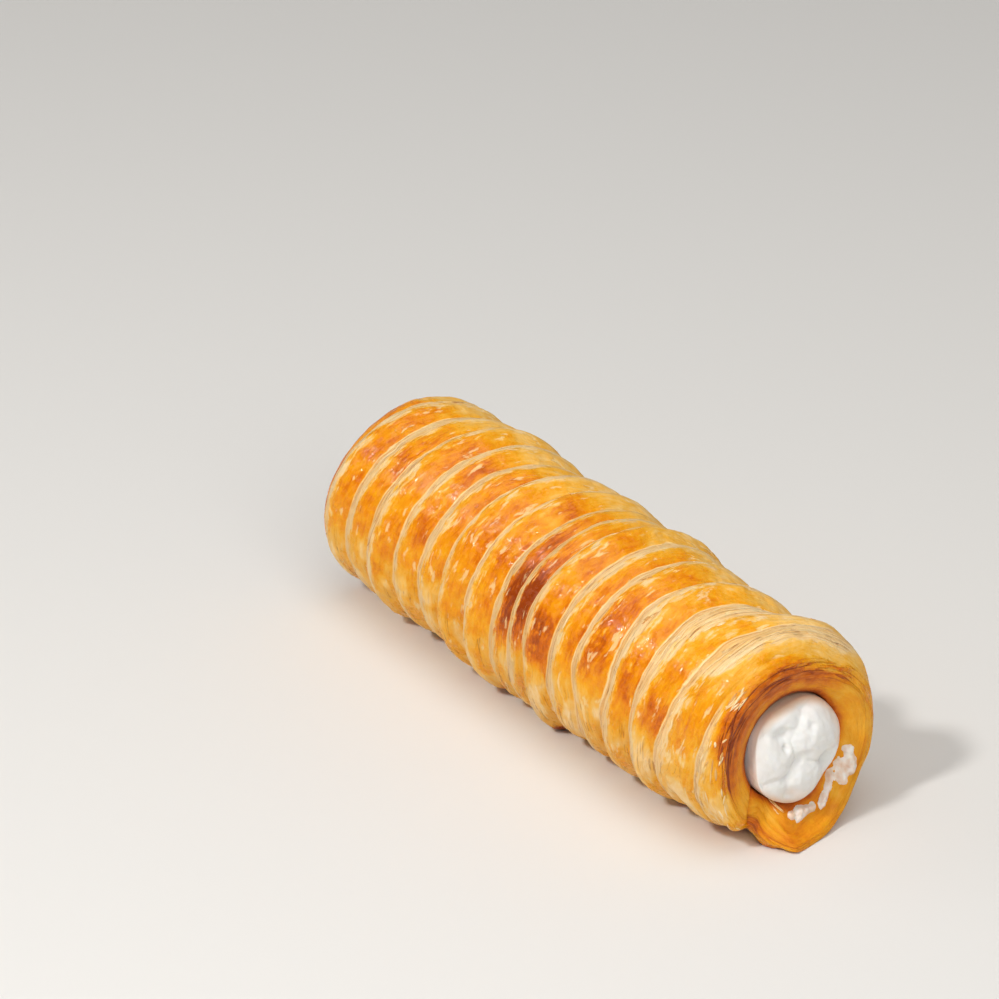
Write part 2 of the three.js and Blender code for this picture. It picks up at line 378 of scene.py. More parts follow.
def funnel(rim_x, rim_radius, inner, rows):
    """Rows from a rim in to the bore."""
    inward = np.linspace(0, 1, rows + 1)[1:, None]
    return mix(rim_x, inner, inward**2), mix(rim_radius, bore, inward)


# %% All rows of the section
rear_nose_x, rear_nose_radius = nose(rear_x, rear_radius, 1)
front_nose_x, front_nose_radius = nose(front_x, front_radius, -1)
side_share = np.linspace(0, 1, SIDE_ROWS)[:, None]
side_x = mix(rear_x + NOSE_LENGTH, front_x - NOSE_LENGTH, side_share)
# The lip comes to a point at the rim, and this sharp ridge fades on the way into the mouth
sharp_funnel_x, front_funnel_radius = funnel(front_x, front_radius, soft_inner, FRONT_FUNNEL_ROWS)
soft_funnel_x = funnel(soft_x, soft_radius, soft_inner, FRONT_FUNNEL_ROWS)[0]
inward = np.linspace(0, 1, FRONT_FUNNEL_ROWS)[:, None]
front_funnel_x = mix(sharp_funnel_x, soft_funnel_x, smooth(inward, 0, 0.4))
rear_funnel_x, rear_funnel_radius = funnel(rear_x, rear_radius, rear_inner, REAR_FUNNEL_ROWS)
bore_x = mix(soft_inner - BORE_START, rear_inner + BORE_START, np.linspace(0, 1, BORE_ROWS)[:, None])

grid_x = np.vstack([
    rear_nose_x, side_x, front_nose_x[::-1], front_funnel_x, bore_x, rear_funnel_x[::-1],
])
grid_radius = np.vstack([
    rear_nose_radius, body_radius(side_x, angle, arc), front_nose_radius[::-1],
    front_funnel_radius, bore + 0 * bore_x, rear_funnel_radius[::-1],
])
rows = np.arange(len(grid_x))[:, None]
print("grid of", len(rows), "rows and", COLUMNS, "columns,", 2 * len(rows) * COLUMNS, "triangles")


# %% Points in space and their outward directions
def to_space(x, radius):
    """Points from places along the tube and radii, never below the ground."""
    z = np.maximum(AXIS_HEIGHT + radius * np.sin(angle), 0)
    return np.stack([x + 0 * radius, radius * np.cos(angle), z], axis=-1)


def outward(points):
    """The unit normal at each point of a closed grid of points."""
    along = np.roll(points, -1, axis=0) - np.roll(points, 1, axis=0)
    around = np.roll(points, -1, axis=1) - np.roll(points, 1, axis=1)
    normal = np.cross(around, along)
    return normal / np.maximum(np.linalg.norm(normal, axis=-1, keepdims=True), 1e-9)


plain = to_space(grid_x, grid_radius)
normals = outward(plain)
step = np.linalg.norm(np.diff(plain, axis=0), axis=-1)
path = np.vstack([np.zeros((1, COLUMNS)), np.cumsum(step, axis=0)])
print("once round the section, mm:", path[-1].min().round(), "to", path[-1].max().round())

# %% [markdown]
# ## Coordinates that follow the winding
# Layers, streaks and creases all run along the strip of dough. So each point also gets three measures
# that the relief and the material share: its place counted in ridges, the length round the tube, and
# the distance from the rim of the mouth, which is negative on the side and positive in the funnel.

# %% Distances from the two rims
FRONT_NOSE_START = NOSE_ROWS + SIDE_ROWS
FRONT_RIM = FRONT_NOSE_START + NOSE_ROWS - 1
REAR_FUNNEL_START = len(rows) - REAR_FUNNEL_ROWS
from_rim = path - path[FRONT_RIM]
from_rear_rim = path - path[0]
to_rear_rim = path[-1] + np.linalg.norm(plain[0] - plain[-1], axis=-1) - path
on_side = 1.0 * (rows <= FRONT_RIM) + 0 * grid_x
front_share = np.clip((rows - FRONT_RIM) / FRONT_FUNNEL_ROWS, 0, 1)
rear_share = np.clip((len(rows) - rows) / REAR_FUNNEL_ROWS, 0, 1)
funnel_share = np.minimum(front_share, rear_share) + 0 * grid_x
print("from the mouth back along the side to the rear rim, mm:", round(float(-from_rim[0].mean()), 1))

# %% [markdown]
# Past the side of the tube the creases no longer count. On each nose the count goes on with the length
# of the way, so that nothing jumps. Inside each rim it soon goes over to one that is the same all
# round, because a count that climbs like a thread would show a seam there.

# %% Place counted in ridges
FUNNEL_PLACE = 17.3
place = ridge_place(grid_x, angle, arc)
nose_path = (path - path[FRONT_NOSE_START]) / RIDGE_SPACING
place = np.where(rows > FRONT_NOSE_START, place[FRONT_NOSE_START] + nose_path, place)
rear_path = (path - path[NOSE_ROWS]) / RIDGE_SPACING
place = np.where(rows < NOSE_ROWS, place[NOSE_ROWS] + rear_path, place)
in_funnel = smooth(from_rim, 0, 1.5) * (rows > FRONT_RIM)
place = mix(place, FUNNEL_PLACE + from_rim / RIDGE_SPACING, in_funnel)
rear_place = mix(place[0], 0, smooth(to_rear_rim, 0, 1.2)) - to_rear_rim / RIDGE_SPACING
place = np.where(rows > REAR_FUNNEL_START - 2, rear_place, place)
part = place - np.floor(place)
across = place * RIDGE_SPACING
print("the count runs from", place.min().round(1), "to", place.max().round(1))

# %% Other measures of each point
SEAM_SPREAD = 6
arc = arc + 0 * grid_x
degrees = np.degrees(angle) + 0 * grid_x
height = plain[..., 2]
seam_fade = 1 - np.exp(-(((degrees - 270) / SEAM_SPREAD) ** 2))
upper = smooth(degrees, 15, 60) * (1 - smooth(degrees, 180, 225))
near_mouth = rows > FRONT_RIM - 60
print("highest point of the plain form, mm:", height.max().round(1))

# %% [markdown]
# ## Fine relief
# Puff pastry is hundreds of thin layers. Where the strip was cut they show as steps and slits; on the
# glazed crests the top layers blister and end in ragged edges. Each kind of relief is a small height,
# and all heights together push the points out along their normals. What is finer than the grid comes
# later from bump in the material.

# %% How wide the cut edge is on each ridge
# Share of the ridge after each crease of the list, on the near side and on top
CUT_WIDTHS = [
    0.45, 0.35, 0.42, 0.38, 0.5, 0.36, 0.46, 0.38, 0.42, 0.35,
    0.4, 0.45, 0.45, 0.36, 0.45, 0.42, 0.22, 0.12, 0.1,
]
TOP_WIDTHS = [
    0.45, 0.55, 0.4, 0.45, 0.4, 0.55, 0.4, 0.5, 0.4, 0.35,
    0.4, 0.48, 0.52, 0.38, 0.5, 0.6, 0.78, 0.3, 0.3,
]
FAR_SHARE = 0.5
WIDTH_NOISE = 0.07
BORDER = 0.06
numbers = np.arange(len(CREASES))
near_width = np.interp(place - 0.3, numbers, CUT_WIDTHS)
top_width = np.interp(place - 0.3, numbers, TOP_WIDTHS)
cut_width = mix(near_width, top_width, smooth(degrees, 145, 115) * smooth(degrees, 20, 55))
far_side = smooth(degrees, 60, 25) + smooth(degrees, 285, 300)
cut_width = cut_width * mix(1, FAR_SHARE, far_side) + WIDTH_NOISE * noise(arc / 13, place / 1.7, 5)
in_body = smooth(-from_rim, 2, 5) * smooth(from_rear_rim, 2, 6) * on_side
cut = smooth(part, 0, 0.03) * (1 - smooth(part, cut_width - BORDER, cut_width + BORDER)) * in_body
print("share of the side that is cut edge:", (cut.sum() / in_body.sum()).round(2))

# %% Layers of the cut edges, and the creases
LAYER_HEIGHT = 0.13
SPLIT_DEPTH = 0.3
CREASE_DEPTH = 0.35
CREASE_UNEVENNESS = 0.4
CREASE_HALF_WIDTH = 0.5
layers = noise(across / 0.95, arc / 16, 21) + 0.5 * noise(across / 2.3, arc / 9, 24)
splits = smooth(np.abs(noise(across / 2.4, arc / 22, 22)), 0.12, 0.0)
splits = splits * smooth(noise(across / 3, arc / 6, 23), -0.05, 0.3)
cut_relief = cut * (LAYER_HEIGHT * layers - SPLIT_DEPTH * splits)
crease_distance = np.minimum(part, 1 - part) * RIDGE_SPACING
crease_depth = CREASE_DEPTH + CREASE_UNEVENNESS * noise(arc / 7, np.floor(place + 0.5) * 2.3, 6)
crease_relief = -crease_depth * np.exp(-((crease_distance / CREASE_HALF_WIDTH) ** 2)) * in_body
print("creases, mm deep:", crease_depth.min().round(2), "to", crease_depth.max().round(2))

# %% Blisters, ragged layers and long wrinkles
BLISTER_HEIGHT = 0.17
SMALL_BLISTER_HEIGHT = 0.05
WRINKLE_HEIGHT = 0.1
LOWER_WRINKLES = 0.8
SHEETS = 2.2
SHEET_HEIGHT = 0.1
blisters = BLISTER_HEIGHT * rough_noise(across / 4.4, arc / 5.5, 31)
blisters = blisters + SMALL_BLISTER_HEIGHT * noise(across / 1.5, arc / 1.8, 32)
wrinkles = WRINKLE_HEIGHT * noise(across / 1.3, arc / 13, 34)
wrinkles = wrinkles * (1 + LOWER_WRINKLES * smooth(degrees, 168, 195))
sheets = SHEETS * rough_noise(across / 4.5, arc / 9, 33) + 3
terraces = np.floor(sheets) + smooth(sheets - np.floor(sheets), 0.35, 0.65) - sheets.mean()
skin_relief = blisters + wrinkles + SHEET_HEIGHT * terraces
relief = cut_relief + crease_relief + in_body * (1 - cut) * skin_relief
print("skin between", skin_relief.min().round(2), "and", skin_relief.max().round(2), "mm")

# %% [markdown]
# ## Folds and slits
# The strip ends at the mouth, where it was pressed down by hand. That left a pointed lip with a few
# folds, and a slit where the last turn meets it. A fold is a soft groove along a short line. The lines
# are drawn on the unrolled surface: the angle round the tube, and the distance in from the rim.

# %% Folds of the lip and the slit beside it
# Angle and distance from the rim at both ends, width and depth
FOLDS = [
    (224, 6.5, 229, 2.5, 0.45, 0.7),
    (229, 2.5, 236, -0.6, 0.5, 0.9),
    (247, 3.2, 253, 3.0, 0.45, 0.35),
    (253, 3.0, 260, 2.0, 0.4, 0.35),
    (255, 5.0, 262, 4.1, 0.45, 0.4),
    (262, 4.1, 272, 2.4, 0.45, 0.35),
]


def fold_depth(rim_distance):
    """Depth of all folds, at each point of the grid."""
    depth = 0
    for start_angle, start_rim, end_angle, end_rim, width, fold in FOLDS:
        start = np.radians(start_angle) * RIM_RADIUS, start_rim
        run = np.radians(end_angle - start_angle) * RIM_RADIUS, end_rim - start_rim
        u, v = np.radians(degrees) * RIM_RADIUS - start[0], rim_distance - start[1]
        share = np.clip((u * run[0] + v * run[1]) / (run[0] ** 2 + run[1] ** 2), 0, 1)
        distance = np.hypot(u - share * run[0], v - share * run[1])
        depth = np.maximum(depth, fold * np.exp(-((distance / width) ** 2)))
    return depth


folds = fold_depth(from_rim) * near_mouth * (rows < FRONT_RIM + FRONT_FUNNEL_ROWS + 1)
print("deepest fold, mm:", folds.max().round(2))

# %% [markdown]
# ## Round the rims
# At the mouth the layers of the last turn lie edge on. They make fine rings, and round the top of the
# mouth a few of them stand apart as dark, wavering lines. Each is cut in as a small step, and is also
# painted darker as the shade of that step.

# %% Dark lines round the top of the mouth: small steps with painted shade
# Distance from the rim, width, strength and seed
RIM_LINES = [
    (0.5, 0.45, 1, 45),
    (-1, 0.3, 0.6, 46),
    (2, 0.3, 0.5, 47),
]
RIM_LINE_DEPTH = 0.22
# The noise of a line runs only round the tube, so its second place stays level
level = 0 * arc
rim_line = level
for line_place, line_width, strength, seed in RIM_LINES:
    waver = 0.8 * noise(arc / 10, level, seed) + 0.3 * noise(arc / 2.6, level, seed)
    present = strength * smooth(noise(arc / 7, level, seed + 3), -0.5, 0.2)
    from_line = (from_rim - line_place + waver) / line_width
    rim_line = np.maximum(rim_line, present * np.exp(-(from_line**2)))
rim_line = rim_line * near_mouth * upper
print("points on the dark lines:", int((rim_line > 0.5).sum()))

# %% All heights together
RIM_LAYER_HEIGHT = 0.16
RIM_LUMP_HEIGHT = 0.14
rim_zone = smooth(-from_rim, 6, 3) * smooth(from_rim, 5, 2.5) * near_mouth
rim_zone = rim_zone + smooth(from_rear_rim, 7, 2) * on_side
rim_layers = noise(from_rim / 0.75 + 0.8 * noise(arc / 9, from_rim / 4, 42), arc / 17, 41)
rim_lumps = noise(arc / 5, from_rim / 3.5, 43)
rim_relief = rim_zone * seam_fade * (RIM_LAYER_HEIGHT * rim_layers + RIM_LUMP_HEIGHT * rim_lumps)
relief = relief + rim_relief - folds - RIM_LINE_DEPTH * rim_line
relief = relief * smooth(height, 0.02, 0.6)
points = plain + normals * relief[..., None]
points[..., 2] = np.maximum(points[..., 2], 0)
print("relief between", relief.min().round(2), "and", relief.max().round(2), "mm")

# %% [markdown]
# ## From a grid to a Blender mesh
# A mesh can take plain lists of corners and faces. The faces join each point to its neighbours, and
# the grid closes on itself both ways. The winding coordinates go in as attributes, one value to a
# point, which a material reads back with an Attribute node.


# %% Mesh helpers
def grid_faces(rows, columns, close_rows):
    """Four corners for each face of a grid that closes round its columns, and round its rows if told."""
    row = np.arange(rows if close_rows else rows - 1)[:, None]
    column = np.arange(columns)[None, :]
    next_row = (row + 1) % rows
    next_column = (column + 1) % columns
    corners = [row * columns + column, next_row * columns + column,
               next_row * columns + next_column, row * columns + next_column]
    return np.stack([np.broadcast_to(c, (len(row), columns)) for c in corners], -1).reshape(-1, 4)


def new_piece(name, places, faces, masks=None):
    """A smooth mesh object from points in the roll's own space, in millimetres."""
    mesh = bpy.data.meshes.new(name)
    mesh.from_pydata(((places.reshape(-1, 3) + ORIGIN) * MM).tolist(), [], [list(f) for f in faces])
    mesh.shade_smooth()
    for mask_name, values in (masks or {}).items():
        kind, key = ("FLOAT_VECTOR", "vector") if values.ndim == 3 else ("FLOAT", "value")
        attribute = mesh.attributes.new(mask_name, kind, "POINT")
        attribute.data.foreach_set(key, np.ascontiguousarray(values, np.float32).ravel())
    piece = bpy.data.objects.new(name, mesh)
    bpy.context.scene.collection.objects.link(piece)
    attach(piece, "root")
    return piece


# %% [markdown]
# ## How far each spot baked, and where shade is painted
# One number says how far the crust baked: 0 is white dough, a half is gold and 1 is dark brown. Egg wash
# on the top and the near side, crests, the rim of the mouth and the tray under the roll all raise it.
# It is worked out for every point here; the material adds the finer streaks. In the funnels, the folds,
# on the dark rim lines and in the gap beside the lip, part of the rise is painted shade.

# %% Spots that browned more, or less, than elsewhere, and painted shade in the gap beside the lip
# Place along the tube, angle round it, amount, half length, half spread in degrees
BROWNED_AND_SHADED = [
    (3, 152, 0.38, 5, 32),
    (25, 165, 0.14, 4, 18),
    (27, 140, 0.12, 4, 14),
    (38, 160, 0.12, 3, 14),
    (47, 168, 0.13, 3, 16),
    (12, 165, 0.2, 2.5, 16),
    (56, 185, 0.06, 4, 16),
    (40, 110, -0.06, 8, 30),
    (57, 110, -0.12, 8, 40),
    (59, 100, -0.2, 2.2, 32),
    # In the gap beside the lip the scale is raised as painted shade
    (63.5, 239, 0.35, 3, 5),
    (-30, 100, 0.08, 7, 30),
    (-50, 130, 0.06, 6, 25),
]
print("spots:", len(BROWNED_AND_SHADED))

# %% Where the egg wash reached, and the crust of the side
CRUST_BAKE = 0.34
WASH_BAKE = 0.32
FLANK_BAKE = 0.14
PATCH_BAKE = -0.24
REAR_RING_BAKE = 0.14
RING_BAKE = 0.24
uneven = rough_noise(across / 9, arc / 11, 61, 4) * seam_fade
edge_angle = degrees + 15 * noise(np.floor(place) * 5.1, arc / 25, 62) + 14 * uneven
washed = smooth(edge_angle, 64, 100) * (1 - smooth(edge_angle, 174, 196))
flanks = smooth(degrees, 170, 205) + 1.4 * smooth(degrees, 45, 5)
low_side = smooth(degrees, 172, 188) * smooth(degrees, 236, 215)
patches = low_side * smooth(rough_noise(across / 6, arc / 14, 64), -0.02, 0.16)
rear_ring = smooth(from_rear_rim, 5, 0.5) * on_side
ring = smooth(from_rim, -4, 0) * mix(0.15, 1, upper * smooth(degrees, 220, 190))
crust_bake_and_shade = CRUST_BAKE + WASH_BAKE * washed + FLANK_BAKE * flanks + PATCH_BAKE * patches
crust_bake_and_shade = crust_bake_and_shade + REAR_RING_BAKE * rear_ring + RING_BAKE * ring
crust_bake_and_shade = crust_bake_and_shade + all_spots(grid_x, angle, BROWNED_AND_SHADED)
print("share of the grid with egg wash:", washed.mean().round(2))

# %% The funnels inside the rims, with painted shade towards the bore
FUNNEL_BAKE = 0.52
UPPER_BAKE_AND_SHADE = 0.12
UPPER_RIM_BAKE_AND_SHADE = 0.24
TONGUE_BAKE = 0.13
BORE_SHADE = 0.3
PALE_LIP_BAKE = -0.26
tongue = smooth(degrees, 225, 245) * smooth(degrees, 310, 290)
pale_lip = np.exp(-(((degrees - 249) / 8) ** 2) - ((from_rim - 4.5) / 2) ** 2)
# On top the funnel is darker, most near the rim: partly browner crust and partly painted shade under the
# rim
upper_rim = smooth(funnel_share, 0.8, 0.1) * upper * smooth(degrees, 40, 80)
funnel_bake_and_shade = FUNNEL_BAKE + UPPER_BAKE_AND_SHADE * upper + UPPER_RIM_BAKE_AND_SHADE * upper_rim + TONGUE_BAKE * tongue
# The share near the bore darkens the deep end of each funnel: painted shade
funnel_bake_and_shade = funnel_bake_and_shade + BORE_SHADE * smooth(funnel_share, 0.7, 1) + PALE_LIP_BAKE * pale_lip
in_mouth = smooth(from_rim, -0.4, 0.6) * smooth(len(rows) - rows, 0, 2)
print("funnels between", funnel_bake_and_shade.min().round(2), "and", funnel_bake_and_shade.max().round(2))

# %% The baking scale, with painted shade in the folds and on the dark rim lines
CLOUD_BAKE = 0.13
FOLD_SHADE = 0.2
LINE_SHADE = 0.13
TRAY_BAKE = 0.95
MOST_BAKE, MOST_RING_BAKE = 1.1, 0.78
clouds = rough_noise(across / 8 + 5, arc / 8 + 5, 63) * seam_fade
# The folds and the slit darken with their depth: painted shade in the grooves
bake_and_shade = mix(crust_bake_and_shade, funnel_bake_and_shade, in_mouth) + CLOUD_BAKE * clouds + FOLD_SHADE * folds
near_rim = smooth(from_rim, -4, -2) * smooth(from_rim, 3, 1.5)
# On the dark rim lines the scale rises as painted shade
bake_and_shade = np.minimum(bake_and_shade, mix(MOST_BAKE, MOST_RING_BAKE, near_rim)) + LINE_SHADE * rim_line
on_tray = (1 - smooth(height + 1.2 * uneven, 0.3, 2.2)) * (1 - smooth(from_rim, -4, -0.5))
bake_and_shade = mix(bake_and_shade, TRAY_BAKE, on_tray)
print("baking scale between", bake_and_shade.min().round(2), "and", bake_and_shade.max().round(2))

# %% [markdown]
# Two more masks go to the material. The cut edge ends where the last turn was pressed down, and thin
# layers part as short dark lines on the cut edges and on the whole lower near side.

# %% Where the cut edge ends, and where layers part
last_turn = smooth(place, 16.94, 16.98) * (1 - smooth(degrees, 132, 152))
cut_zone = in_body * (1 - last_turn)
parted = cut * mix(0.25, 1, smooth(degrees, 20, 60))
split_zone = np.maximum(parted, 0.8 * smooth(degrees, 180, 190)) * smooth(degrees, 300, 270) * cut_zone
print("points where layers may part:", int((split_zone > 0.5).sum()))

# %% The pastry piece
tube = TUBE_RADIUS + 0 * place
winding = np.stack([place, tube * np.cos(angle), tube * np.sin(angle)], -1)
look = np.stack([cut_width, bake_and_shade, cut_zone], -1)
lines = np.stack([split_zone, upper, from_rim], -1)
pastry = new_piece("pastry_surface", points, grid_faces(len(rows), COLUMNS, True),
                   {"winding": winding, "look": look, "lines": lines})
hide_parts("pastry_roll")
print("pastry:", len(pastry.data.polygons), "faces")

# %% [markdown]
# ## The cream
# Whipped cream keeps the marks of the nozzle and the knife: soft lobes with creases and a few dimples
# between them. A flat disc of points is raised into a dome, and round lumps and dents bend it. The
# filling runs from end to end, so the same disc, turned a little, also closes it at the rear.

# %% Sizes of the cream, its lobes and its dents
CREAM_COLUMNS = 160
CREAM_RINGS = 64
CREAM_GAP = 1.0
CREAM_SIDE = 0.8
CREAM_SINK = 0.3
CREAM_MIDDLE = AXIS_HEIGHT - BORE_DROP - CREAM_SINK
CREAM_RADIUS = BORE_RADIUS - CREAM_GAP
CREAM_SET_BACK = 1.1
CREAM_SLANT = 0.9
CREAM_SLUMP = 0.8
CREAM_DOME = 2.2
MEAN_SWELL = 0.8
REAR_TURN = 2
# Sideways and upward from the middle, size, and height or depth
LOBES = [
    (-6.4, 0.4, 5.0, 2.0),
    (3.4, 2.6, 6.6, 2.6),
    (0.4, -5.2, 5.4, 2.6),
    (6.8, -3.2, 4.0, 1.8),
    (-5.2, -6.2, 3.6, 1.7),
    (-3.5, 6.6, 4.2, 1.3),
]
DENTS = [
    (-4.4, 4.8, 1.5, 1.3),
    (5.2, -2.0, 1.5, 1.5),
    (-4.2, 2.3, 0.7, 1.0),
    (-3.2, -8.0, 1.3, 1.2),
    (1.5, 5.8, 0.9, 0.5),
    (3.8, -6.2, 1.0, 0.5),
    (-0.6, 0.2, 1.0, 0.5),
]
print("radius of the cream, mm:", round(CREAM_RADIUS, 1))


# %% Cream surface
def cream_front(share, around):
    """How far out the cream stands, at a share of its radius and an angle round it."""
    y, z = share * CREAM_RADIUS * np.cos(around), share * CREAM_RADIUS * np.sin(around)
    swell = 0
    for lobe_y, lobe_z, size, height in LOBES:
        distance = ((y - lobe_y) ** 2 + (z - lobe_z) ** 2) / size**2
        swell = np.maximum(swell, height * np.sqrt(np.clip(1 - distance, 0, 1)))
    for dent_y, dent_z, size, depth in DENTS:
        distance = ((y - dent_y) ** 2 + (z - dent_z) ** 2) / size**2
        swell = swell - depth * np.exp(-distance)
    fine = 0.3 * rough_noise(y / 3.4 + 9, z / 3.4 + 4, 51) + 0.12 * noise(y / 1.1, z / 1.1, 52)
    middle = FRONT_X - CREAM_SET_BACK + CREAM_DOME
    edge = FRONT_X - CREAM_SET_BACK - CREAM_SLANT * np.cos(around) - CREAM_SLUMP * np.sin(around)
    dome = mix(edge, middle, np.sqrt(np.clip(1 - share**2.6, 0, 1)))
    return dome + (swell + fine - MEAN_SWELL) * (1 - share**6)


# %% The cream piece
around = (TURN * np.arange(CREAM_COLUMNS) / CREAM_COLUMNS)[None, :]
shares = np.sin(np.linspace(0.01, 1, CREAM_RINGS) * math.pi / 2)[:, None]
cream_radius = CREAM_RADIUS * np.vstack([shares, shares[::-1]]) + 0 * around
# A tan tint at the edge, above and below: partly a stain from the crust, partly painted warm shade
stain_and_shade = smooth(cream_radius / CREAM_RADIUS, 0.85, 1.0) * smooth(np.abs(np.sin(around)), 0.4, 0.9)
cream_radius = cream_radius * (1 + 0.035 * np.sin(3 * around + 0.6) + 0.025 * np.sin(5 * around + 2))
cream_x = np.vstack([-cream_front(shares, around + REAR_TURN), cream_front(shares[::-1], around)])
cream_points = np.stack([
    cream_x, CREAM_SIDE + cream_radius * np.cos(around), CREAM_MIDDLE + cream_radius * np.sin(around),
], -1)
cream_faces = [list(face) for face in grid_faces(2 * CREAM_RINGS, CREAM_COLUMNS, False)[:, ::-1]]
last_row = (2 * CREAM_RINGS - 1) * CREAM_COLUMNS
cream_faces.append(list(range(CREAM_COLUMNS))[::-1])
cream_faces.append([last_row + column for column in range(CREAM_COLUMNS)])
cream = new_piece("cream_surface", cream_points, cream_faces, {"stain_and_shade": stain_and_shade})
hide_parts("cream_filling")
print("cream stands out to X =", cream_points[..., 0].max().round(1))

# %% [markdown]
# ## Smears and flakes
# Some cream was smeared over the lip when the roll was filled, and loose flakes stand up where the
# strip was cut. Both lie on the crust, so a helper finds the point and the outward direction at an
# angle round the tube and a distance from the rim. The smears are one sheet that rises above the crust
# only where there is cream; elsewhere it lies under it and is left out.


# %% A point on the crust
def surface_at(degree, distance):
    """The point, and its outward direction, at an angle and a distance from the rim."""
    column = (degree + 90) % 360 / 360 * COLUMNS
    low = int(column) % COLUMNS
    high = (low + 1) % COLUMNS
    row = np.interp(distance, from_rim[:, low], rows[:, 0])
    corner = min(int(row), len(rows) - 2)
    found = []
    for grid in (points, normals):
        here = mix(grid[corner, low], grid[corner + 1, low], row - corner)
        beside = mix(grid[corner, high], grid[corner + 1, high], row - corner)
        found.append(mix(here, beside, column - int(column)))
    return found


print("on top, 10 mm behind the rim:", surface_at(90, -10)[0].round(1))


# %% How thick the smeared cream is
# Angle round the tube, distance from the rim, radius and thickness
SMEARS = [
    (334, 4.2, 1.2, 0.9),
    (328, 3.0, 1.2, 1.2),
    (323, 2.2, 1.0, 1.2),
    (321, 5.0, 1.4, 0.9),
    (315, 3.0, 1.1, 1.1),
    (311, 5.8, 1.2, 0.9),
    (304, 5.3, 0.9, 1.0),
    (298, 5.0, 0.9, 1.0),
    (293, 4.8, 1.0, 1.1),
    (285, 5.9, 0.9, 1.0),
    (279, 6.3, 0.9, 1.0),
    (273, 6.6, 1.3, 1.4),
    (265, 7.2, 0.9, 0.9),
]
SMEAR_ANGLES = np.linspace(256, 345, 220)
SMEAR_DISTANCES = np.linspace(0.4, 9.4, 100)
BARE_HEIGHT = -0.35
LOWEST_HEIGHT = -0.2
SHOWN_HEIGHT = -0.1


def smear_height(degree, distance):
    """Height of the cream over the crust, which is negative where there is none."""
    height = BARE_HEIGHT
    for at_angle, at_distance, size, thickness in SMEARS:
        aside = math.radians(degree - at_angle) * RIM_RADIUS
        inward = distance - at_distance
        height = height + thickness * math.exp(-(aside**2 + inward**2) / size**2)
    return height + 0.3 * float(rough_noise(np.array(degree / 5.0), np.array(distance / 1.5), 71))


print("smear at its first spot, mm:", round(smear_height(*SMEARS[0][:2]), 1))

# %% The smeared piece
smear_points, smear_heights = [], []
for degree in SMEAR_ANGLES:
    for distance in SMEAR_DISTANCES:
        point, out = surface_at(degree, distance)
        film = smear_height(degree, distance)
        smear_points.append(point + out * max(film, LOWEST_HEIGHT))
        smear_heights.append(film)
# A face whose columns lie further apart would close the sheet into a tube, so it is left out too
smear_faces = [
    list(face) for face in grid_faces(len(SMEAR_ANGLES), len(SMEAR_DISTANCES), False)
    if np.ptp(face % len(SMEAR_DISTANCES)) == 1
    and max(smear_heights[corner] for corner in face) > SHOWN_HEIGHT
]
smears = new_piece("cream_smears", np.array(smear_points), smear_faces)
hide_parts("cream_filling")
print("smears:", len(smear_faces), "faces")

# %% Sizes of the loose flakes
# Number of flakes, first and last angle, and least and greatest distance from the rim
FLAKE_GROUPS = [
    (14, 128, 142, -4.5, -1),
    (26, 148, 236, -5, -1),
    (7, 244, 258, 5.5, 8),
    (120, 50, 235, -124, -6),
]
FLAKE_STEPS = 7
FLAKE_LIFT = 0.03
FLAKE_THICKNESS = 0.06
# Least and greatest
FLAKE_HALF_LENGTH = 0.5, 1.9
FLAKE_HALF_WIDTH = 0.1, 0.26
FLAKE_CURL = 0.0, 0.35
FLAKE_LEAN = -0.3, 0.3
THREAD_PITCH = RIDGES_PER_TURN * RIDGE_SPACING / 360
random = np.random.default_rng(7)
flake_points, flake_faces, flake_shades = [], [], []
print("loose flakes:", sum(group[0] for group in FLAKE_GROUPS))


# %% One flake
def add_flake(middle_angle, middle_rim):
    """A thin pointed leaf that lies along the winding and curls up at one end."""
    half_length, half_width = random.uniform(*FLAKE_HALF_LENGTH), random.uniform(*FLAKE_HALF_WIDTH)
    curl, lean = random.uniform(*FLAKE_CURL), random.uniform(*FLAKE_LEAN)
    start = len(flake_points)
    for along in np.linspace(-1, 1, FLAKE_STEPS):
        degree = middle_angle + math.degrees(half_length * along / TUBE_RADIUS)
        taper = half_width * (1.04 - along**2)
        centre = middle_rim - THREAD_PITCH * (degree - middle_angle) + lean * along
        lift = FLAKE_LIFT + curl * max(along, 0) ** 2
        for side, layer in ((-1, 0), (1, 0), (1, 1), (-1, 1)):
            point, out = surface_at(degree, centre + side * taper)
            flake_points.append(point + out * (lift - FLAKE_THICKNESS * (1 - layer)))
    flake_shades.extend([random.uniform(0, 1)] * (len(flake_points) - start))
    end = start + 4 * (FLAKE_STEPS - 1)
    for base in range(start, end, 4):
        for corner in range(4):
            beside = (corner + 1) % 4
            flake_faces.append([base + corner, base + beside, base + 4 + beside, base + 4 + corner])
    flake_faces.append([start, start + 3, start + 2, start + 1])
    flake_faces.append([end, end + 1, end + 2, end + 3])


# %% All flakes, by the mouth and on the cut edges
BY_MOUTH = -6
LEAST_CUT = 0.3
for count, first_angle, last_angle, least, greatest in FLAKE_GROUPS:
    made = 0
    while made < count:
        middle_angle, middle_rim = random.uniform(first_angle, last_angle), random.uniform(least, greatest)
        column = int((middle_angle + 90) % 360 / 360 * COLUMNS)
        row = int(np.interp(middle_rim, from_rim[:, column], rows[:, 0]))
        if cut[row, column] > LEAST_CUT or middle_rim > BY_MOUTH:
            add_flake(middle_angle, middle_rim)
            made += 1
flakes = new_piece("pastry_flakes", np.array(flake_points), flake_faces, {"shade": np.array(flake_shades)})
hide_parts("pastry_roll")
print("flakes:", len(flake_faces), "faces")

